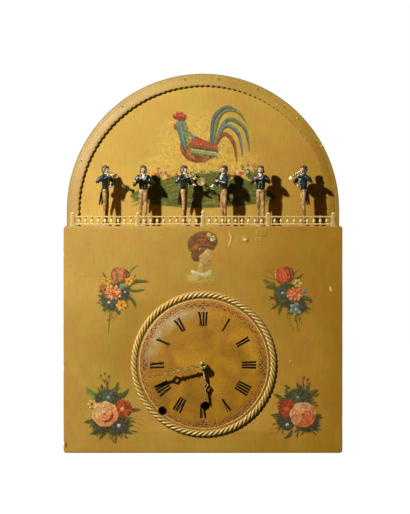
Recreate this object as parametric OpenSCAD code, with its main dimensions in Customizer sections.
// Automaton clock: a painted wooden case with a round dial, and an arched stage
// where six carved musicians turn while a small pipe organ plays behind the dial.
// Millimetres. X runs right, Y runs back, Z runs up.
// The origin is the middle of the base, on the surface that the case stands on.

/* [Case] */
// Width of the front board
case_w = 558; // [540:2:600]
// Height of the lower case, up to the stage
case_h = 454; // [446:2:480]
// Depth from the front board's face to the back of the rear door
case_d = 240; // [236:2:270]
// Thickness of the case boards
board_t = 12; // [9:0.5:14]
// How far the case sides stand back from the front board's edges
side_inset = 4; // [1:0.5:6]
// Rounding of the front board's corners
corner_r = 6; // [2:0.5:12]
// Gap round a board that is set between others
joint_gap = 0.2; // [0.1:0.05:0.4]

/* [Arched top] */
// How far the arch stands in from the front board's edges
arch_inset = 4; // [3:0.5:8]
// Height of the straight part under the round of the arch
arch_rise = 33; // [24:1:40]
// How far the arch stands back from the front board's face, behind the musicians' ledge
arch_setback = 91; // [86:0.5:96]
// Width of the arch frame, from its outer edge to the hollows of its scallops
arch_frame_w = 23; // [18:0.5:28]
// Thickness of the arch frame
arch_frame_t = 4.5; // [3:0.5:6]
// Thickness of the bent hood
hood_t = 6; // [4:0.5:8]
// Width of one scallop on the frame's inner edge
scallop_w = 11; // [8:0.5:16]
// Height of one scallop
scallop_h = 1.6; // [0.8:0.1:2.4]
// Thickness of the painted panel behind the arch frame
panel_t = 6; // [4:0.5:8]

/* [Balustrade] */
// How far the rails end short of the arch's edges
rail_inset = 11; // [5:0.5:20]
// Depth of a rail
rail_d = 8; // [6:0.5:10]
// Height of a rail
rail_h = 2.5; // [2:0.1:3.5]
// Height of the bottom rail above the stage
rail_lift = 2.5; // [1.5:0.1:4]
// Clear height between the rails
baluster_h = 12.5; // [10:0.5:18]
// Distance from one baluster to the next
baluster_pitch = 13; // [9:0.5:20]
// Number of posts
posts = 5; // [3:1:7]
// Height of the end finials
finial_h = 8; // [6:0.5:12]
// Extra height of the middle finial
finial_extra = 4; // [0:0.5:8]

/* [Dial] */
// Height of the dial's centre above the base
dial_z = 176; // [172:1:182]
// Radius of the dial plate
dial_r = 136; // [134:0.5:138]
// Thickness of the dial plate
dial_t = 1.6; // [1:0.1:2.5]
// Height of the dial's dome
dial_dome = 6; // [3:0.5:8]
// Radius of the opening behind the dial
dial_opening_r = 130; // [129:0.5:131]
// Radius to the middle of the rope ring
bezel_r = 138; // [136:0.5:140]
// Width of the rope ring
bezel_w = 12; // [10:0.5:14]
// Height of the rope ring above the front board
bezel_h = 10.5; // [8:0.5:13]
// Radius of the winding holes
winding_hole_r = 7.5; // [6:0.25:9]
// Length of the minute hand, from the centre to the tip
minute_l = 112; // [100:1:118]
// Length of the hour hand, from the centre to the tip
hour_l = 72; // [60:1:80]
// Thickness of a hand
hand_t = 1.4; // [1:0.1:2]
// Clockwise angle of the minute hand from the top
minute_angle = 258; // [0:1:359]
// Clockwise angle of the hour hand from the top
hour_angle = 171.5; // [0:0.5:359]
// Gap between the dial's dome and the hour hand
hour_lift = 9; // [7:0.5:12]
// Gap between the two hands
hand_gap = 4.5; // [3.5:0.5:6]

/* [Movement] */
// Gap between the front board and the movement's front plate
front_gap = 10; // [9:0.5:12]
// Thickness of the brass plates
plate_t = 3; // [2.5:0.25:3.5]
// Clear distance between the plates
plate_gap = 45; // [45:1:50]
// Left edge of the plates
plate_left = -170; // [-176:1:-168]
// Right edge of the plates
plate_right = 70; // [62:1:90]
// Height of the plates
plate_h = 258; // [256:1:270]
// Height of the block that the plates stand on
seat_h = 18; // [12:1:20]
// Radial clearance of a pivot in its hole
pivot_gap = 0.05; // [0.02:0.01:0.08]
// Radius of an arbor
arbor_r = 1.5; // [1.3:0.1:1.7]
// Thickness of a wheel
wheel_t = 2; // [1.5:0.25:2.25]
// Place of the going winding arbor, right of the middle
going_x = 5; // [2:1:8]
// Height of the going winding arbor
going_z = 95; // [93:1:97]
// Place of the music winding arbor, right of the middle
music_x = -81; // [-83:1:-79]
// Height of the music winding arbor
music_z = 85; // [83:1:87]
// Radius of the spring barrels
barrel_r = 33; // [28:0.5:34]
// Radius of the winding arbors
winder_r = 3.5; // [3:0.25:4]
// Radius of the escape wheel
escape_r = 20; // [18:0.5:21]
// Height of the anchor's arbor above the escape wheel's
anchor_rise = 28; // [27:0.5:30]
// Length of the pendulum, from its pivot to the bob's middle
pendulum_l = 207.7; // [195:0.1:210]
// Radius of the pendulum bob
bob_r = 23; // [18:0.5:25]
// Thickness of the pendulum bob
bob_t = 8; // [5:0.5:10]

/* [Organ] */
// Radius of the pinned cylinder
cylinder_r = 40; // [36:0.5:41]
// Length of the pinned cylinder
cylinder_l = 124; // [118:1:126]
// Number of keys and pipes
notes = 8; // [4:2:8]
// Distance from one key to the next
key_pitch = 14; // [12:0.5:14]
// Height of the keys' tips above the bare cylinder
key_lift = 2.4; // [2.2:0.1:3]
// Height of the wind chest's floor
chest_z = 190; // [186:1:196]
// Height of the wind chest
chest_h = 26; // [22:1:32]
// Gap between the longest pipe's stopper and the stage
pipe_headroom = 21; // [5:1:60]
// Width of a pipe
pipe_w = 22; // [18:0.5:24]
// Length of the bellows
bellows_l = 150; // [130:1:156]
// Width of the bellows
bellows_w = 92; // [80:1:94]
// Angle between the bellows boards at rest
bellows_angle = 11; // [8:0.5:12]

/* [Musicians] */
// Height of a musician
musician_h = 120; // [110:1:124]
// Distance from the front board's face to the musicians' spindles
musician_y = 58; // [56:0.5:60]
// Radius of the disc under a musician's feet
disc_r = 12; // [10:0.5:14]
// Thickness of the disc
disc_t = 2.4; // [1.5:0.1:3]
// Gap between the disc and the stage
disc_gap = 0.3; // [0.2:0.05:0.5]
// Radius of a spindle
spindle_r = 2; // [1.5:0.1:2.5]
// Length of a spindle's crank
crank_l = 14; // [12:0.5:16]
// Radius of a crank's pin
crank_pin_r = 1.4; // [1.2:0.1:1.6]
// Side clearance of a crank's pin in its slot
crank_slot_gap = 0.2; // [0.15:0.01:0.3]
// Travel of the figure bar to each side
bar_travel = 5; // [3:0.5:5]

/* [Hidden] */
$fn = 48;
eps = 0.01;

// Case planes, along Y
front_y = -case_d / 2;
rear_y = case_d / 2;
inner_y = front_y + board_t;
door_y = rear_y - board_t;
// Case planes, along X and Z
side_x = case_w / 2 - side_inset;
inner_x = side_x - board_t;
stage_z = case_h;
under_stage_z = case_h - board_t;

// Arch
arch_r = case_w / 2 - arch_inset;
arch_cz = stage_z + arch_rise;
arch_front_y = front_y + arch_setback;
arch_back_y = arch_front_y + arch_frame_t;
hood_in_r = arch_r - hood_t;

// Balustrade
rail_l = 2 * (arch_r - rail_inset);
rail_y = front_y + board_t / 2;
rail_1_z = stage_z + rail_lift;
rail_2_z = rail_1_z + rail_h + baluster_h;
rail_top_z = rail_2_z + rail_h;
post_r = 3.6;
post_pitch = (rail_l - 6) / (posts - 1);

// Rear door
door_gap = 1;
door_w = 2 * side_x - 2 * door_gap;
door_lift = 2;
hinge_r = 3;
hinge_pin_r = 1.2;
hinge_leaf_t = 1.2;
hinge_leaf_w = 18;
hinge_h = 42;
hinge_out = 3.5;
hinge_x = -side_x - hinge_out;
hinge_zs = [case_h * 0.2, case_h * 0.8];
knuckle_gap = 0.3;
knob_r = 9;
knob_l = 20;

// Dial and hands, along Y
dial_top_y = front_y - dial_t - dial_dome;
hour_y = dial_top_y - hour_lift;
minute_y = hour_y - hand_t - hand_gap;
hand_end_y = minute_y - hand_t - 2;
collet_r = 7;
collet_t = 3;
ring_gap = 0.6;
hour_pipe_r = 5;
cannon_r = 3.2;
minute_arbor_r = 2;

// Movement planes, along Y
fp_y = inner_y + front_gap - plate_t;
fp_back_y = fp_y + plate_t;
bp_y = fp_back_y + plate_gap;
bp_back_y = bp_y + plate_t;
plate_z = board_t + seat_h;
pivot_end_y = bp_back_y + 2;
pillar_r = 4;
pillar_inset = 9;
pillar_xs = [plate_left + pillar_inset, plate_right - pillar_inset];
pillar_zs = [plate_z + pillar_inset, plate_z + plate_h - pillar_inset];
pillar_cs = [for (x = pillar_xs, z = pillar_zs) [x, z]];
pin_share = 0.38;

// Tooth counts of the going train and the motion work
n_barrel = 60;
n_first_pinion = 10;
n_first = 64;
n_centre_pinion = 8;
n_centre = 84;
n_third_pinion = 8;
n_third = 75;
n_escape_pinion = 8;
n_escape = 40;
n_cannon = 12;
n_motion = 36;
n_motion_pinion = 10;
n_hour = 40;
// Tooth counts of the music train
n_music = 72;
n_cylinder_pinion = 12;
n_cylinder = 80;
n_fan_pinion = 8;
n_fan = 60;
n_fly_pinion = 8;
// Modules: pitch diameter for each tooth
m_barrel = 1.4;
m_first = 1.05;
m_train = 0.8;
m_cannon = 1;
m_hour = m_cannon * (n_cannon + n_motion) / (n_motion_pinion + n_hour);
m_music = 1.3;
m_cylinder = 1;
m_fan = 0.8;

// Arbor places in the X, Z plane
dial_c = [0, dial_z];
going_c = [going_x, going_z];
music_c = [music_x, music_z];
first_c = meet(going_c, reach(n_barrel, n_first_pinion, m_barrel),
               dial_c, reach(n_first, n_centre_pinion, m_first));
third_c = polar(dial_c, reach(n_centre, n_third_pinion, m_train), 125);
escape_d = reach(n_third, n_escape_pinion, m_train);
escape_c = [0, third_c[1] + sqrt(escape_d * escape_d - third_c[0] * third_c[0])];
anchor_c = [0, escape_c[1] + anchor_rise];
motion_c = polar(dial_c, reach(n_cannon, n_motion, m_cannon), 30);
cylinder_c = polar(music_c, reach(n_music, n_cylinder_pinion, m_music), 145);
fan_c = polar(cylinder_c, reach(n_cylinder, n_fan_pinion, m_cylinder), 105);
fly_c = polar(fan_c, reach(n_fan, n_fly_pinion, m_fan), 70);
bob_z = anchor_c[1] - pendulum_l;

// Wheel planes: the front face of each wheel, along Y
y_barrel = fp_back_y + 2.5;
y_centre = fp_back_y + 19;
y_third = fp_back_y + 9;
y_escape = fp_back_y + 29;
y_first = bp_y - 5.5;
y_music = bp_y - 5.5;
y_cylinder_wheel = fp_back_y + 4;
y_fan = fp_back_y + 16;
drum_gap = 0.8;
motion_step = 5;
pendulum_gap = 10;
y_cannon = fp_y - motion_step;
y_hour = fp_y - 2 * motion_step;
y_pendulum = bp_back_y + pendulum_gap;

// Pinned cylinder and keys, along Y
cylinder_y = bp_back_y + 6;
cylinder_end_y = cylinder_y + cylinder_l;
bridge_y = cylinder_end_y + 2;
bridge_t = 6;
bridge_w = 44;
key_0_y = cylinder_y + (cylinder_l - (notes - 1) * key_pitch) / 2;
key_w = 4;
key_pivot = [cylinder_c[0] + 46, cylinder_c[1] + cylinder_r + 9];
key_wire_r = 1.2;
music_pin_r = 0.6;
music_pin_h = 1.8;

// Wind chest and pipes
chest_left = -inner_x;
chest_right = key_pivot[0] + 12;
chest_y = cylinder_y + 2;
chest_d = 120;
chest_wall = 5;
trunk_w = 15;
trunk_d = 30;
foot_r = 4;
foot_h = 12;
pipe_wall = 2.5;
pipe_step = 10;
pipe_rows = [58, 123];
pipe_end = 16;
pipe_block = 8;
pipe_lid = 12;
mouth_rise = 14;
mouth_h = 6;
windway_r = 1.5;
stopper_h = 8;
stopper_r = 3;
pipe_h = under_stage_z - pipe_headroom - stopper_h - foot_h - chest_z - chest_h;
trunk_wall = 3;
ear_r = 5;
ear_t = 4;

// Bellows
bellows_board_t = 6;
bellows_y = bp_back_y + 34;
bellows_x = -inner_x + trunk_w + 4;
bellows_hinge = [bellows_x + 3, board_t + bellows_board_t + 7];
bellows_pin_r = 2;
bellows_top = board_t + bellows_board_t;

// Musicians
stage_y = front_y + musician_y;
musician_places = [-0.713, -0.437, -0.138, 0.153, 0.422, 0.735];
musician_xs = [for (p = musician_places) p * arch_r];
musician_yaw = [62, 6, 58, -58, -6, -62];
feet_z = stage_z + disc_gap + disc_t;
crank_t = 2.5;
crank_z = under_stage_z - 6 - crank_t;
bar_t = 3;
bar_w = 12;
bar_z = crank_z - 1 - bar_t;
bar_y = stage_y + crank_l;
bar_end = 12;
guide_t = 1.5;
guide_xs = [for (i = [0:2:4]) (musician_xs[i] + musician_xs[i + 1]) / 2];

// Distance between two meshed arbors
function reach(n1, n2, m) = (n1 + n2) * m / 2;
// Point at a distance and angle from another
function polar(c, d, a) = [c[0] + d * cos(a), c[1] + d * sin(a)];
// Angle of the line from one point to another
function bearing(a, b) = atan2(b[1] - a[1], b[0] - a[0]);
// The point, on the right of the line from a to b, at distance ra from a and rb from b
function meet(a, ra, b, rb) =
    let (d = norm(b - a), u = (b - a) / d)
    let (t = (ra * ra - rb * rb + d * d) / (2 * d))
    let (h = sqrt(ra * ra - t * t))
    a + t * u + h * [u[1], -u[0]];

// Bar of a flat shape between two planes along Y
module slab(c, y0, y1) {
    translate([c[0], y1, c[1]])
        rotate([90, 0, 0])
            linear_extrude(y1 - y0)
                children();
}

// Round rod along Y
module rod(c, y0, y1, r) {
    translate([c[0], y1, c[1]])
        rotate([90, 0, 0])
            cylinder(h = y1 - y0, r = r);
}

// Box from its low corner to its high corner
module box(a, b) {
    translate(a)
        cube(b - a);
}

// Outline of a toothed wheel with straight sided teeth; a gap lies at angle gap_at
module teeth(n, m, gap_at) {
    r = n * m / 2;
    turn = 360 / n;
    polygon([
        for (i = [0:n - 1], k = [[-0.22, -1.3], [-0.08, 1], [0.08, 1], [0.22, -1.3]])
            (r + k[1] * m) * [cos(gap_at + turn * (i + 0.5 + k[0])), sin(gap_at + turn * (i + 0.5 + k[0]))]
    ]);
}

// Crossed out wheel, with a hub and five spokes
module wheel(n, m, gap_at, hub_r, spokes = 5) {
    rim_r = n * m / 2 - 1.3 * m - 3;
    difference() {
        teeth(n, m, gap_at);
        difference() {
            circle(r = rim_r);
            circle(r = hub_r);
            for (i = [0:spokes - 1])
                rotate(i * 360 / spokes)
                    translate([0, -1.6])
                        square([rim_r + 1, 3.2]);
        }
    }
}

// Lantern pinion: pins between two discs; a pin lies at angle pin_at
module lantern(c, y0, y1, n, m, pin_at) {
    r = n * m / 2;
    disc = 1.2;
    rod(c, y0, y0 + disc, r + 0.9 * m);
    rod(c, y1 - disc, y1, r + 0.9 * m);
    for (i = [0:n - 1])
        rod(polar(c, r, pin_at + i * 360 / n), y0 + disc - eps, y1 - disc + eps, pin_share * m);
}

// Arbor between the plates, with a thinner pivot at each end
module arbor(c, r = arbor_r) {
    rod(c, fp_back_y + 0.4, bp_y - 0.4, r);
    rod(c, fp_y, pivot_end_y, r - 0.5);
}

// Pivot hole through both plates
module pivot_holes(y0, y1) {
    for (c = [first_c, third_c, escape_c, fan_c, fly_c])
        rod(c, y0, y1, arbor_r - 0.5 + pivot_gap);
    rod(dial_c, y0, y1, minute_arbor_r + pivot_gap);
    rod(cylinder_c, y0, y1, 2.5 + pivot_gap);
    rod(anchor_c, y0, y1, arbor_r + pivot_gap);
    for (c = [going_c, music_c])
        rod(c, y0, y1, winder_r + pivot_gap);
    for (c = pillar_cs)
        rod(c, y0, y1, pillar_r / 2 + joint_gap);
}

// Outline of the arch at a given radius
module arch_shape(r) {
    translate([0, arch_cz])
        circle(r = r, $fn = 180);
    translate([-r, stage_z])
        square([2 * r, arch_rise]);
}

// Space above the stage
module above_stage() {
    translate([-case_w, stage_z])
        square([2 * case_w, 2 * arch_r]);
}

module arch_board(r, y0, y1) {
    slab([0, 0], y0, y1)
        intersection() {
            arch_shape(r);
            above_stage();
        }
}

module base_board() {
    color("sienna")
        box([-inner_x + joint_gap, inner_y, 0], [inner_x - joint_gap, door_y, board_t]);
}

module case_sides() {
    color("sienna")
        for (s = [-1, 1])
            translate([s * (side_x + inner_x) / 2 - board_t / 2, inner_y, 0])
                cube([board_t, door_y - inner_y, under_stage_z]);
}

module front_board() {
    color("goldenrod")
        difference() {
            slab([0, 0], front_y, inner_y)
                union() {
                    translate([-case_w / 2, 0])
                        square([case_w, case_h - corner_r]);
                    translate([-case_w / 2 + corner_r, 0])
                        square([case_w - 2 * corner_r, case_h]);
                    for (s = [-1, 1])
                        translate([s * (case_w / 2 - corner_r), case_h - corner_r])
                            circle(r = corner_r);
                }
            rod(dial_c, front_y - 1, inner_y + 1, dial_opening_r);
        }
}

module stage_floor() {
    color("sienna")
        difference() {
            box([-side_x, inner_y, under_stage_z], [side_x, door_y, stage_z]);
            for (x = musician_xs)
                translate([x, stage_y, under_stage_z - 1])
                    cylinder(h = board_t + 2, r = spindle_r + pivot_gap);
        }
}

module seat_board() {
    color("burlywood")
        box([plate_left - 10, inner_y + joint_gap, board_t], [plate_right + 10, bp_back_y + 4, plate_z]);
}

module rear_door() {
    color("sienna")
        box([-door_w / 2, door_y + joint_gap, door_lift], [door_w / 2, rear_y, case_h - door_lift]);
}

// Upright knuckle of a hinge, with or without its bore
module knuckle(z0, z1, bore) {
    translate([hinge_x, door_y, z0])
        difference() {
            cylinder(h = z1 - z0, r = hinge_r);
            if (bore > 0)
                translate([0, 0, -1])
                    cylinder(h = z1 - z0 + 2, r = bore);
        }
}

module hinge_leaves() {
    color("gray")
        for (z = hinge_zs) {
            box([-side_x - hinge_leaf_t, door_y - hinge_leaf_w, z - hinge_h / 2],
                [-side_x, door_y - hinge_r - knuckle_gap, z + hinge_h / 2]);
            for (z0 = [z - hinge_h / 2, z + hinge_h / 6])
                translate([-side_x - hinge_leaf_t, door_y - hinge_r - 1, z0])
                    cube([hinge_leaf_t, hinge_r, hinge_h / 3]);
            knuckle(z - hinge_h / 2, z - hinge_h / 6, 0);
            knuckle(z + hinge_h / 6, z + hinge_h / 2, 0);
            translate([hinge_x, door_y, z - hinge_h / 3])
                cylinder(h = hinge_h * 2 / 3, r = hinge_pin_r);
        }
}

module door_leaves() {
    color("gray")
        for (z = hinge_zs) {
            knuckle(z - hinge_h / 6 + knuckle_gap, z + hinge_h / 6 - knuckle_gap, hinge_pin_r + pivot_gap);
            box([hinge_x + hinge_r - 1, door_y + 1, z - hinge_h / 6 + knuckle_gap],
                [-door_w / 2, rear_y, z + hinge_h / 6 - knuckle_gap]);
        }
}

module door_knob() {
    color("peru")
        translate([door_w / 2 - 30, rear_y, case_h / 2])
            rotate([-90, 0, 0])
                rotate_extrude()
                    polygon([
                        [0, 0], [knob_r * 0.9, 0], [knob_r * 0.9, 1.5], [knob_r * 0.45, 4],
                        [knob_r * 0.45, knob_l * 0.4], [knob_r, knob_l * 0.6], [knob_r, knob_l * 0.8],
                        [knob_r * 0.6, knob_l], [0, knob_l]
                    ]);
}

module arch_hood() {
    color("sienna")
        difference() {
            arch_board(arch_r, arch_back_y, door_y);
            slab([0, 0], arch_back_y - 1, door_y + 1)
                arch_shape(hood_in_r);
        }
}

// The frame's inner edge is a row of shallow scallops that follows the arch
module arch_frame() {
    in_r = arch_r - arch_frame_w;
    steps = round(in_r * PI / scallop_w);
    color("goldenrod")
        slab([0, 0], arch_front_y, arch_back_y)
            difference() {
                intersection() {
                    arch_shape(arch_r);
                    above_stage();
                }
                translate([0, arch_cz])
                    polygon([
                        for (i = [0:4 * steps])
                            let (a = i * 45 / steps, r = in_r - scallop_h * abs(cos(i * 45)))
                                r * [cos(a), sin(a)]
                    ]);
                translate([-in_r, stage_z - 1])
                    square([2 * in_r, arch_rise + 1 + eps]);
            }
}

module arch_panel() {
    color("gold")
        arch_board(hood_in_r - joint_gap, arch_back_y, arch_back_y + panel_t);
}

module hood_rear() {
    color("sienna")
        arch_board(hood_in_r - joint_gap, door_y - board_t, door_y);
}

module balustrade_rails() {
    color("khaki")
        for (z = [rail_1_z, rail_2_z])
            box([-rail_l / 2, rail_y - rail_d / 2, z], [rail_l / 2, rail_y + rail_d / 2, z + rail_h]);
}

// Turned baluster between the rails
module baluster() {
    rotate_extrude($fn = 24)
        polygon([
            [0, 0], [2.4, 0], [2.4, baluster_h * 0.1], [1.1, baluster_h * 0.2], [2.3, baluster_h * 0.5],
            [1.1, baluster_h * 0.8], [2.4, baluster_h * 0.9], [2.4, baluster_h], [0, baluster_h]
        ]);
}

// Turned finial on top of a post
module finial(h) {
    rotate_extrude($fn = 24)
        polygon([
            [0, 0], [post_r, 0], [post_r, h * 0.15], [post_r * 0.5, h * 0.3],
            [post_r * 0.85, h * 0.55], [post_r * 0.6, h * 0.85], [0, h]
        ]);
}

module balusters() {
    between = floor((post_pitch - 2 * post_r) / baluster_pitch);
    color("khaki") {
        for (i = [0:posts - 1])
            translate([(i - (posts - 1) / 2) * post_pitch, rail_y, 0]) {
                translate([0, 0, stage_z])
                    cylinder(h = rail_lift, r = post_r);
                translate([0, 0, rail_1_z + rail_h])
                    cylinder(h = baluster_h, r = post_r);
                translate([0, 0, rail_top_z])
                    finial(finial_h + (i == (posts - 1) / 2 ? finial_extra : 0));
            }
        for (i = [0:posts - 2], k = [1:between])
            translate([
                (i - (posts - 1) / 2) * post_pitch + k * post_pitch / (between + 1),
                rail_y, rail_1_z + rail_h
            ])
                baluster();
    }
}

// Domed sheet: points of its face, from the middle to the edge
function dome(steps, lift) = [
    for (i = [0:steps])
        let (r = dial_r * i / steps)
            [r, dial_dome * (1 - (r / dial_r) * (r / dial_r)) + lift]
];

module dial_plate() {
    under = [for (i = [9:-1:1]) dome(10, 0)[i]];
    color("goldenrod")
        difference() {
            translate([0, front_y, dial_z])
                rotate([90, 0, 0])
                    rotate_extrude($fn = 120)
                        polygon(concat(dome(10, dial_t), [[dial_r, 0]], under, [[0, dial_dome]]));
            rod(dial_c, dial_top_y - 1, front_y, hour_pipe_r + 0.6);
            for (c = [going_c, music_c])
                rod(c, dial_top_y - 1, front_y + 1, winding_hole_r);
        }
}

// Height over the front board at which the rope ring rests, on the board or on the dial's face
function ring_seat(r) =
    r > dial_r + joint_gap ? 0 : dial_t + dial_dome * (1 - (r / dial_r) * (r / dial_r)) + ring_gap;

module dial_bezel() {
    half = bezel_w / 2;
    step_r = dial_r + joint_gap;
    low = bezel_r - half;
    high = bezel_r + half;
    color("gold")
        translate([0, front_y, dial_z])
            rotate([90, 0, 0])
                rotate_extrude($fn = 120)
                    polygon(concat(
                        high > step_r ? [[step_r, 0], [step_r, dial_t + ring_gap]] : [],
                        [[low, ring_seat(low)]],
                        [
                            for (a = [160:-20:20])
                                [bezel_r + half * cos(a), dial_t + (bezel_h - dial_t) * sin(a)]
                        ],
                        [[high, ring_seat(high)]]
                    ));
}

// Pierced hand: collet ring, tapered stem, cross piece and an open lozenge
module hand(length, lozenge_at) {
    stem = 3;
    loz_w = 11;
    loz_l = 30;
    difference() {
        union() {
            circle(r = collet_r);
            translate([-stem / 2, 0])
                square([stem, lozenge_at]);
            translate([-loz_w / 3, length * 0.25])
                square([loz_w * 2 / 3, 3]);
            polygon([
                [0, lozenge_at - loz_l / 2], [loz_w / 2, lozenge_at], [0, lozenge_at + loz_l / 2],
                [-loz_w / 2, lozenge_at]
            ]);
            polygon([
                [-stem / 2, lozenge_at + loz_l / 4], [stem / 2, lozenge_at + loz_l / 4],
                [0.5, length], [-0.5, length]
            ]);
        }
        for (s = [-1, 1])
            polygon([
                [0, lozenge_at + s * (loz_l / 2 - 5)], [loz_w / 2 - 2.2, lozenge_at + s * 1.2],
                [-loz_w / 2 + 2.2, lozenge_at + s * 1.2]
            ]);
    }
}

module minute_hand() {
    color("palegoldenrod")
        difference() {
            union() {
                slab(dial_c, minute_y - hand_t, minute_y)
                    rotate(-minute_angle)
                        hand(minute_l, minute_l * 0.59);
                rod(dial_c, minute_y - hand_t - 0.6, minute_y + 1.2, collet_r * 0.6);
            }
            rod(dial_c, minute_y - hand_t - 2, minute_y + 2, minute_arbor_r + joint_gap / 10);
        }
}

module hour_hand() {
    color("palegoldenrod")
        difference() {
            union() {
                slab(dial_c, hour_y - hand_t, hour_y)
                    rotate(-hour_angle)
                        hand(hour_l, hour_l * 0.53);
                rod(dial_c, hour_y - hand_t - 0.4, hour_y + collet_t, collet_r + 0.5);
            }
            rod(dial_c, hour_y - hand_t - 1, hour_y + collet_t + 1, hour_pipe_r + joint_gap / 10);
        }
}

module plate_outline() {
    translate([plate_left, plate_z])
        square([plate_right - plate_left, plate_h]);
}

module front_plate() {
    color("darkkhaki")
        difference() {
            slab([0, 0], fp_y, fp_back_y)
                plate_outline();
            pivot_holes(fp_y - 1, fp_back_y + 1);
            rod(motion_c, fp_y - 1, fp_back_y + 1, arbor_r + joint_gap / 10);
        }
}

module back_plate() {
    color("darkkhaki")
        difference() {
            slab([0, 0], bp_y, bp_back_y)
                plate_outline();
            pivot_holes(bp_y - 1, bp_back_y + 1);
        }
}

module plate_pillars() {
    color("goldenrod")
        for (c = pillar_cs) {
            rod(c, fp_back_y, bp_y, pillar_r);
            rod(c, fp_y - 1, bp_back_y + 3, pillar_r / 2);
            rod(c, bp_back_y, bp_back_y + 2.5, pillar_r);
        }
}

// Spring barrel: a drum with its great wheel, free to turn on the winding arbor
module barrel(c, n, m, gap_at, wheel_y, drum_0, drum_1) {
    difference() {
        union() {
            slab(c, wheel_y, wheel_y + wheel_t)
                teeth(n, m, gap_at);
            rod(c, drum_0, drum_1, barrel_r);
        }
        rod(c, min(wheel_y, drum_0) - 1, max(wheel_y + wheel_t, drum_1) + 1, winder_r + pivot_gap);
    }
}

// Winding arbor: round through the plates and barrel, squared at the front for the key
module winder(c) {
    key_y = front_y + 3;
    color("silver") {
        rod(c, fp_y - 5, pivot_end_y, winder_r);
        slab(c, key_y, fp_y - 5 + eps)
            square(2 * winder_r * 0.68, center = true);
        slab(c, fp_y - 3, fp_y - 1)
            difference() {
                polygon([
                    for (i = [0:23], k = [[0, 9], [0.9, 12]])
                        k[1] * [cos((i + k[0]) * 15), sin((i + k[0]) * 15)]
                ]);
                circle(r = winder_r - eps);
            }
    }
}

module going_barrel() {
    color("goldenrod")
        barrel(going_c, n_barrel, m_barrel, bearing(going_c, first_c), y_barrel,
               y_barrel + wheel_t - eps, y_first - drum_gap - wheel_t);
}

module going_winder() {
    winder(going_c);
}

module music_barrel() {
    color("goldenrod")
        barrel(music_c, n_music, m_music, bearing(music_c, cylinder_c), y_music,
               y_cylinder_wheel + wheel_t + 2.5, y_music + eps);
}

module music_winder() {
    winder(music_c);
}

module first_wheel() {
    color("goldenrod") {
        slab(first_c, y_first, y_first + wheel_t)
            wheel(n_first, m_first, bearing(first_c, dial_c), 6);
        lantern(first_c, y_barrel - 2.2, y_barrel + wheel_t + 2.2, n_first_pinion, m_barrel,
                bearing(first_c, going_c));
        arbor(first_c);
    }
}

module centre_wheel() {
    color("goldenrod") {
        slab(dial_c, y_centre, y_centre + wheel_t)
            wheel(n_centre, m_train, bearing(dial_c, third_c), 6);
        lantern(dial_c, y_first - 2, bp_y - 0.6, n_centre_pinion, m_first, bearing(dial_c, first_c));
        rod(dial_c, fp_back_y + 0.4, y_first, minute_arbor_r + 0.8);
        rod(dial_c, hand_end_y, pivot_end_y, minute_arbor_r);
    }
}

module cannon_pinion() {
    color("goldenrod")
        difference() {
            union() {
                slab(dial_c, y_cannon, y_cannon + 4)
                    teeth(n_cannon, m_cannon, bearing(dial_c, motion_c) + 180 / n_cannon);
                rod(dial_c, minute_y + 1.2, y_cannon + eps, cannon_r);
            }
            rod(dial_c, minute_y, fp_y, minute_arbor_r + joint_gap / 10);
        }
}

module third_wheel() {
    color("goldenrod") {
        slab(third_c, y_third, y_third + wheel_t)
            wheel(n_third, m_train, bearing(third_c, escape_c), 5);
        lantern(third_c, y_centre - 2.2, y_centre + wheel_t + 2.2, n_third_pinion, m_train,
                bearing(third_c, dial_c));
        arbor(third_c);
    }
}

module escape_wheel() {
    root_r = escape_r - 2.6;
    turn = 360 / n_escape;
    tooth = [[0, root_r], [0.16, escape_r], [0.24, escape_r], [0.5, root_r]];
    color("goldenrod") {
        slab(escape_c, y_escape, y_escape + wheel_t)
            difference() {
                polygon([
                    for (i = [0:n_escape - 1], k = tooth)
                        k[1] * [cos(90 + turn * (i + k[0])), sin(90 + turn * (i + k[0]))]
                ]);
                for (i = [0:4])
                    rotate(i * 72)
                        translate([10, 0])
                            circle(r = 3.6);
            }
        lantern(escape_c, y_third - 2.2, y_third + wheel_t + 2.2, n_escape_pinion, m_train,
                bearing(escape_c, third_c));
        arbor(escape_c);
    }
}

// Anchor on its arbor, with the crutch that drives the pendulum behind the back plate
module anchor() {
    clear = 1.8;
    tip = escape_r + clear;
    fork_z = -46;
    color("slategray") {
        difference() {
            slab(anchor_c, y_escape, y_escape + wheel_t)
                union() {
                    circle(r = 5);
                    difference() {
                        translate([0, -anchor_rise])
                            circle(r = tip + 5, $fn = 96);
                        translate([0, -anchor_rise])
                            circle(r = tip, $fn = 96);
                        translate([-60, -60 - anchor_rise + tip * 0.72])
                            square([120, 60]);
                    }
                    translate([-2.5, -anchor_rise + tip + 1])
                        square([5, anchor_rise - tip]);
                }
            rod(anchor_c, y_escape - 1, y_escape + wheel_t + 1, arbor_r - eps);
        }
        rod(anchor_c, fp_y, bp_back_y + 5, arbor_r);
        slab(anchor_c, bp_back_y + 3, bp_back_y + 5)
            union() {
                circle(r = 4);
                translate([-1.5, fork_z])
                    square([3, -fork_z]);
            }
        for (s = [-1, 1])
            slab(anchor_c, bp_back_y + 3, y_pendulum + 3)
                translate([s * 3.4 - 1, fork_z - 3])
                    square([2, 6]);
        slab(anchor_c, bp_back_y + 3, bp_back_y + 5)
            translate([-4.4, fork_z - 3])
                square([8.8, 6]);
    }
}

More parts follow.
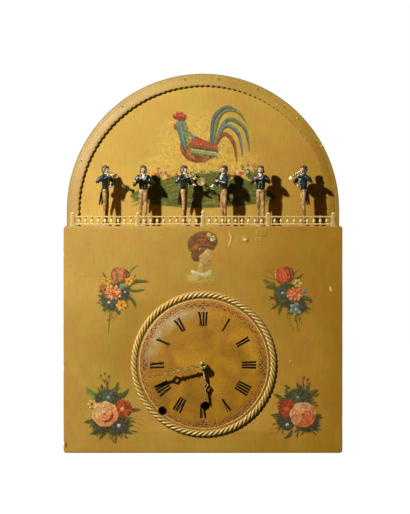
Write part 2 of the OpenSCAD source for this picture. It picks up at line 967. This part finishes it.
// Bracket on the back plate that carries the pendulum on a pin in line with the anchor
module pendulum_cock() {
    color("goldenrod") {
        slab(anchor_c, bp_back_y, bp_back_y + 3)
            translate([-14, 9])
                square([28, 12]);
        slab(anchor_c, bp_back_y + 3 - eps, y_pendulum + 8)
            translate([-4, 10])
                square([8, 8]);
        slab(anchor_c, y_pendulum + 5, y_pendulum + 8)
            translate([-4, -5])
                square([8, 16]);
        rod(anchor_c, y_pendulum - 3, y_pendulum + 6, arbor_r);
    }
}

module pendulum_rod() {
    color("lightgray")
        difference() {
            union() {
                rod(anchor_c, y_pendulum - 2, y_pendulum + 2, 5);
                translate([0, y_pendulum, bob_z - bob_r - 9])
                    cylinder(h = anchor_c[1] - bob_z + bob_r + 9 - 4, r = 1.6);
            }
            rod(anchor_c, y_pendulum - 5, y_pendulum + 5, arbor_r + pivot_gap);
        }
}

module pendulum_bob() {
    bore = 1.6 + pivot_gap;
    color("gold")
        difference() {
            translate([0, y_pendulum + bob_t / 2, bob_z])
                rotate([90, 0, 0])
                    rotate_extrude($fn = 72)
                        polygon([
                            [0, 0], [bob_r * 0.6, 0], [bob_r * 0.9, bob_t * 0.2],
                            [bob_r, bob_t * 0.45], [bob_r, bob_t * 0.55],
                            [bob_r * 0.9, bob_t * 0.8], [bob_r * 0.6, bob_t], [0, bob_t]
                        ]);
            translate([0, y_pendulum, bob_z - bob_r - 1])
                cylinder(h = 2 * bob_r + 2, r = bore);
        }
}

module motion_wheel() {
    color("goldenrod") {
        slab(motion_c, y_cannon + 1, y_cannon + 3)
            wheel(n_motion, m_cannon, bearing(motion_c, dial_c), 6, 4);
        slab(motion_c, y_hour - 1.5, y_cannon + 1 + eps)
            difference() {
                teeth(n_motion_pinion, m_hour, bearing(motion_c, dial_c) + 180 / n_motion_pinion);
                circle(r = arbor_r - eps);
            }
        rod(motion_c, y_hour - 1.5, fp_back_y, arbor_r);
    }
}

module hour_wheel() {
    bore = cannon_r + pivot_gap;
    color("goldenrod")
        difference() {
            union() {
                slab(dial_c, y_hour, y_hour + wheel_t)
                    teeth(n_hour, m_hour, bearing(dial_c, motion_c));
                rod(dial_c, hour_y - hand_t - 1, y_hour + eps, hour_pipe_r);
            }
            rod(dial_c, hour_y - hand_t - 3, y_hour + wheel_t + 1, bore);
        }
}

// Wooden cylinder with brass pins set along each key's track
module pinned_cylinder() {
    color("burlywood") {
        difference() {
            rod(cylinder_c, cylinder_y, cylinder_end_y, cylinder_r);
            for (y = [cylinder_y - 1, cylinder_end_y - 3])
                rod(cylinder_c, y, y + 4, cylinder_r - 8);
        }
        rod(cylinder_c, fp_y, bridge_y + bridge_t + 1, 2.5);
        slab(cylinder_c, y_cylinder_wheel, y_cylinder_wheel + wheel_t)
            wheel(n_cylinder, m_cylinder, bearing(cylinder_c, fan_c), 7);
        lantern(cylinder_c, y_music - 2.2, bp_y - 0.6, n_cylinder_pinion, m_music,
                bearing(cylinder_c, music_c));
        for (i = [0:notes - 1], k = [0:4])
            translate([cylinder_c[0], key_0_y + i * key_pitch, cylinder_c[1]])
                rotate([0, 25 + i * 31 + k * 67, 0])
                    translate([0, 0, cylinder_r - 1])
                        cylinder(h = music_pin_h + 1, r = music_pin_r, $fn = 16);
    }
}

module fan_wheel() {
    color("goldenrod") {
        slab(fan_c, y_fan, y_fan + wheel_t)
            wheel(n_fan, m_fan, bearing(fan_c, fly_c), 5);
        lantern(fan_c, y_cylinder_wheel - 2.2, y_cylinder_wheel + wheel_t + 2.2, n_fan_pinion, m_cylinder,
                bearing(fan_c, cylinder_c));
        arbor(fan_c);
    }
}

module fly() {
    blade_r = 16;
    color("goldenrod") {
        lantern(fly_c, y_fan - 2.2, y_fan + wheel_t + 2.2, n_fly_pinion, m_fan, bearing(fly_c, fan_c));
        arbor(fly_c);
        slab(fly_c, y_fan + 6, bp_y - 5)
            difference() {
                translate([-blade_r, -0.5])
                    square([2 * blade_r, 1]);
                circle(r = arbor_r - eps);
            }
    }
}

module cylinder_bridge() {
    color("burlywood")
        difference() {
            union() {
                box([cylinder_c[0] - bridge_w / 2, bridge_y, board_t],
                    [cylinder_c[0] + bridge_w / 2, bridge_y + bridge_t, cylinder_c[1] + 14]);
                box([cylinder_c[0] - bridge_w / 2, bridge_y, board_t],
                    [cylinder_c[0] + bridge_w / 2, bridge_y + bridge_t + 9, board_t + 6]);
            }
            rod(cylinder_c, bridge_y - 1, bridge_y + bridge_t + 1, 2.5 + pivot_gap);
        }
}

// Keys over the cylinder, each with a beak for the pins and a sticker up to its pallet
module keys() {
    tip_x = cylinder_c[0] - key_pivot[0];
    beak_z = cylinder_c[1] + cylinder_r + music_pin_h + 0.4 - key_pivot[1];
    sticker_h = chest_z - key_lift - 1 - key_pivot[1];
    color("tan")
        for (i = [0:notes - 1])
            let (y = key_0_y + i * key_pitch) {
                difference() {
                    slab(key_pivot, y - key_w / 2, y + key_w / 2)
                        union() {
                            circle(r = 4);
                            translate([tip_x - 2, -2])
                                square([-tip_x + 2, 4]);
                            polygon([
                                [tip_x - 2, -1], [tip_x + 2, -1], [tip_x + 0.4, beak_z], [tip_x - 0.4, beak_z]
                            ]);
                        }
                    rod(key_pivot, y - key_w, y + key_w, key_wire_r + pivot_gap);
                }
                translate([key_pivot[0] + tip_x + 8, y, key_pivot[1] + 2 - eps])
                    cylinder(h = sticker_h - 2, r = 1);
            }
}

// Wind chest, with the trunk that feeds it, the bellows' fixed board and hinge pin under the trunk,
// and the ears that hold the keys' wire
module wind_chest() {
    ear_y0 = key_0_y - key_pitch / 2;
    ear_y1 = key_0_y + (notes - 0.5) * key_pitch;
    trunk_y = bellows_y + 20;
    color("burlywood") {
        difference() {
            union() {
                box([chest_left, chest_y, chest_z], [chest_right, chest_y + chest_d, chest_z + chest_h]);
                box([chest_left, trunk_y, board_t + bellows_board_t],
                    [chest_left + trunk_w, trunk_y + trunk_d, chest_z + eps]);
            }
            box([chest_left + chest_wall, chest_y + chest_wall, chest_z + chest_wall],
                [chest_right - chest_wall, chest_y + chest_d - chest_wall, chest_z + chest_h - chest_wall]);
            box([chest_left + trunk_wall, trunk_y + trunk_wall, board_t + bellows_board_t - 1],
                [
                    chest_left + trunk_w - trunk_wall,
                    trunk_y + trunk_d - trunk_wall,
                    chest_z + chest_wall + 1
                ]);
            for (i = [0:notes - 1])
                translate([pipe_place(i)[0], pipe_place(i)[1], chest_z + chest_h - chest_wall - 1])
                    cylinder(h = chest_wall + 2, r = foot_r + joint_gap);
        }
        for (y = [ear_y0, ear_y1])
            slab(key_pivot, y - ear_t / 2, y + ear_t / 2)
                union() {
                    circle(r = ear_r);
                    translate([-ear_r, 0])
                        square([2 * ear_r, chest_z - key_pivot[1] + eps]);
                }
        rod(key_pivot, ear_y0, ear_y1, key_wire_r);
        box([chest_left, bellows_y, board_t], [bellows_x + bellows_l, bellows_y + bellows_w, bellows_top]);
        for (y = [bellows_y, bellows_y + bellows_w - 1.6])
            translate([bellows_hinge[0] - 4, y, bellows_top - eps])
                cube([8, 1.6, bellows_hinge[1] + 4 - bellows_top]);
        rod([bellows_hinge[0], bellows_hinge[1]], bellows_y, bellows_y + bellows_w, bellows_pin_r);
    }
}

// Place of a pipe's foot on the chest, in two rows
function pipe_place(i) =
    let (step = (chest_d - 2 * pipe_end) / (notes / 2 - 1))
    [chest_left + pipe_rows[i % 2], chest_y + pipe_end + floor(i / 2) * step];

// Square stopped pipe: foot, hollow body with its mouth at the front, and a stopper
module pipe(h) {
    w = pipe_w / 2;
    mouth_z = foot_h + mouth_rise;
    difference() {
        union() {
            translate([0, 0, -chest_wall])
                cylinder(h = foot_h + chest_wall, r = foot_r);
            box([-w, -w, foot_h], [w, w, foot_h + h]);
        }
        box([-w + pipe_wall, -w + pipe_wall, foot_h + pipe_block],
            [w - pipe_wall, w - pipe_wall, foot_h + h - pipe_lid]);
        box([-w + pipe_wall, -w - 1, mouth_z], [w - pipe_wall, -w + pipe_wall + 1, mouth_z + mouth_h]);
        translate([0, 0, -chest_wall - 1])
            cylinder(h = foot_h + chest_wall + pipe_block + 2, r = windway_r);
    }
    translate([0, 0, foot_h + h])
        cylinder(h = stopper_h, r = stopper_r);
}

module organ_pipes() {
    color("wheat")
        for (i = [0:notes - 1])
            translate([pipe_place(i)[0], pipe_place(i)[1], chest_z + chest_h])
                pipe(pipe_h - i * pipe_step);
}

// Moving board of the bellows, hinged at its left edge on a pin
module bellows_board() {
    color("burlywood")
        translate([bellows_hinge[0], bellows_y, bellows_hinge[1]])
            rotate([0, -bellows_angle, 0])
                difference() {
                    union() {
                        translate([0, 2, -bellows_board_t / 2])
                            cube([bellows_l - 3, bellows_w - 4, bellows_board_t]);
                        translate([0, 2, 0])
                            rotate([-90, 0, 0])
                                cylinder(h = bellows_w - 4, r = bellows_pin_r + 2);
                    }
                    translate([0, -1, 0])
                        rotate([-90, 0, 0])
                            cylinder(h = bellows_w + 2, r = bellows_pin_r + pivot_gap);
                }
}

// Leather folds between the bellows' two boards
module bellows() {
    folds = 5;
    x0 = 12;
    x1 = bellows_l - 10;
    edge = 8;
    under = bellows_hinge[1] - bellows_board_t / 2 / cos(bellows_angle) - 0.3;
    z0 = under + x0 * tan(bellows_angle);
    z1 = under + x1 * tan(bellows_angle);
    color("peru")
        slab([bellows_hinge[0], 0], bellows_y + edge, bellows_y + bellows_w - edge)
            polygon(concat(
                [[x0, bellows_top], [x1, bellows_top]],
                [
                    for (k = [1:2 * folds - 1])
                        [x1 + (k % 2 == 1 ? 5 : 0), bellows_top + (z1 - bellows_top) * k / (2 * folds)]
                ],
                [[x1, z1], [x0, z0]]
            ));
}

// Bar that turns all the musicians, with a slot for each crank's pin
module figure_bar() {
    pin_dip = crank_l - sqrt(crank_l * crank_l - bar_travel * bar_travel);
    slot_l = 2 * (crank_pin_r + pin_dip + 1);
    color("silver")
        difference() {
            box([musician_xs[0] - bar_end, bar_y - bar_w / 2, bar_z],
                [musician_xs[5] + bar_end, bar_y + bar_w / 2, bar_z + bar_t]);
            for (x = musician_xs)
                box([x - crank_pin_r - crank_slot_gap, bar_y - slot_l / 2, bar_z - 1],
                    [x + crank_pin_r + crank_slot_gap, bar_y + slot_l / 2, bar_z + bar_t + 1]);
        }
}

// Staples under the stage that carry the bar
module bar_guides() {
    g = 0.1;
    out = bar_w / 2 + g + guide_t;
    color("silver")
        for (x = guide_xs)
            translate([x - 4, bar_y, 0])
                difference() {
                    box([0, -out, bar_z - g - guide_t], [8, out, under_stage_z]);
                    box([-1, -bar_w / 2 - g, bar_z - g], [9, bar_w / 2 + g, under_stage_z + 1]);
                }
}

// Spindle: the disc under the feet, the rod through the stage and the crank below it
module spindle(i) {
    color("saddlebrown")
        translate([musician_xs[i], stage_y, 0]) {
            translate([0, 0, stage_z + disc_gap])
                cylinder(h = disc_t, r = disc_r);
            translate([0, 0, crank_z])
                cylinder(h = stage_z + disc_gap - crank_z + eps, r = spindle_r);
            translate([0, 0, crank_z]) {
                cylinder(h = crank_t, r = 4);
                translate([-2, 0, 0])
                    cube([4, crank_l, crank_t]);
                translate([0, crank_l, 0])
                    cylinder(h = crank_t, r = 2.8);
            }
            translate([0, crank_l, bar_z - 0.5])
                cylinder(h = crank_z - bar_z + 0.5 + eps, r = crank_pin_r);
        }
}

module spindle_1() { spindle(0); }
module spindle_2() { spindle(1); }
module spindle_3() { spindle(2); }
module spindle_4() { spindle(3); }
module spindle_5() { spindle(4); }
module spindle_6() { spindle(5); }

// Limb between two points, rounded at both ends
module limb(a, b, ra, rb) {
    hull() {
        translate(a)
            sphere(r = ra, $fn = 10);
        translate(b)
            sphere(r = rb, $fn = 10);
    }
}

// Carved man in a tailcoat, facing -Y, drawn 120 mm high; hands are where the instrument is held
module man(hand_l, hand_r, elbow_l, elbow_r) {
    color("beige")
        for (s = [-1, 1]) {
            limb([s * 4.5, 0, 66], [s * 5, -1, 35], 6, 4);
            limb([s * 5, -1, 35], [s * 5.5, 1, 6], 4, 2.8);
            limb([s * 5.5, 1, 2.2], [s * 7, -6, 2.2], 2.2, 2);
        }
    color("midnightblue") {
        limb([0, 0, 72], [0, -1, 94], 9, 10);
        limb([-8, 0, 97], [8, 0, 97], 5, 5);
        for (s = [-1, 1])
            limb([s * 4, 6, 70], [s * 6, 9.5, 50], 4.5, 2.5);
        limb([-10, 0, 97], elbow_l, 4.6, 3.8);
        limb([10, 0, 97], elbow_r, 4.6, 3.8);
        limb(elbow_l, hand_l, 3.8, 2.8);
        limb(elbow_r, hand_r, 3.8, 2.8);
    }
    color("bisque") {
        limb([0, 0, 99], [0, -0.5, 106], 4, 3.6);
        translate([0, -0.5, 111])
            sphere(r = 7.4, $fn = 14);
    }
    color("saddlebrown")
        translate([0, 1.4, 112.8])
            sphere(r = 7.2, $fn = 14);
}

// Horn or clarinet: a tube that opens into a bell
module blown(mouth, bell, tube_r, bell_r) {
    d = bell - mouth;
    l = norm(d);
    color("gold")
        translate(mouth)
            rotate([0, acos(d[2] / l), atan2(d[1], d[0])])
                rotate_extrude($fn = 20)
                    polygon([
                        [0, 0], [tube_r, 0], [tube_r, l * 0.6], [tube_r * 1.4, l * 0.8],
                        [bell_r, l], [bell_r - 0.8, l], [0, l - 3]
                    ]);
}

// One musician on the stage, at the height and place of its spindle
module on_stage(i) {
    translate([musician_xs[i], stage_y, feet_z])
        rotate([0, 0, musician_yaw[i]])
            scale(musician_h / 120)
                children();
}

module musician_1() {
    on_stage(0) {
        man([-3, -17, 99], [3, -19, 101], [-17, -6, 88], [15, -10, 86]);
        blown([0, -7, 108], [1, -31, 100], 1.4, 5);
    }
}

module musician_2() {
    on_stage(1) {
        man([-12, -14, 88], [4, -15, 90], [-18, -2, 80], [17, -4, 82]);
        color("saddlebrown")
            limb([-13, -15, 90], [1, -16, 90], 6.5, 5);
    }
}

module musician_3() {
    on_stage(2) {
        man([-3, -17, 97], [3, -20, 93], [-16, -7, 86], [14, -10, 84]);
        blown([0, -7, 109], [3, -37, 88], 1.6, 8);
    }
}

module musician_4() {
    on_stage(3) {
        man([-3, -15, 92], [3, -18, 88], [-15, -7, 82], [16, -7, 84]);
        blown([0, -7, 108], [-1, -31, 79], 1.5, 5);
    }
}

module musician_5() {
    on_stage(4) {
        man([-10, -15, 92], [3, -16, 94], [-17, -4, 84], [17, -3, 86]);
        color("saddlebrown")
            limb([-13, -15, 92], [3, -17, 96], 3, 3);
    }
}

module musician_6() {
    on_stage(5) {
        man([-3, -18, 99], [3, -16, 99], [-15, -9, 86], [17, -6, 90]);
        blown([0, -7, 108], [-1, -32, 97], 1.4, 5);
    }
}

base_board();
case_sides();
front_board();
stage_floor();
seat_board();
rear_door();
hinge_leaves();
door_leaves();
door_knob();
arch_hood();
arch_frame();
arch_panel();
hood_rear();
balustrade_rails();
balusters();
dial_plate();
dial_bezel();
minute_hand();
hour_hand();
front_plate();
back_plate();
plate_pillars();
going_barrel();
going_winder();
first_wheel();
centre_wheel();
cannon_pinion();
third_wheel();
escape_wheel();
anchor();
pendulum_cock();
pendulum_rod();
pendulum_bob();
motion_wheel();
hour_wheel();
music_barrel();
music_winder();
pinned_cylinder();
fan_wheel();
fly();
cylinder_bridge();
keys();
wind_chest();
organ_pipes();
bellows_board();
bellows();
figure_bar();
bar_guides();
spindle_1();
spindle_2();
spindle_3();
spindle_4();
spindle_5();
spindle_6();
musician_1();
musician_2();
musician_3();
musician_4();
musician_5();
musician_6();
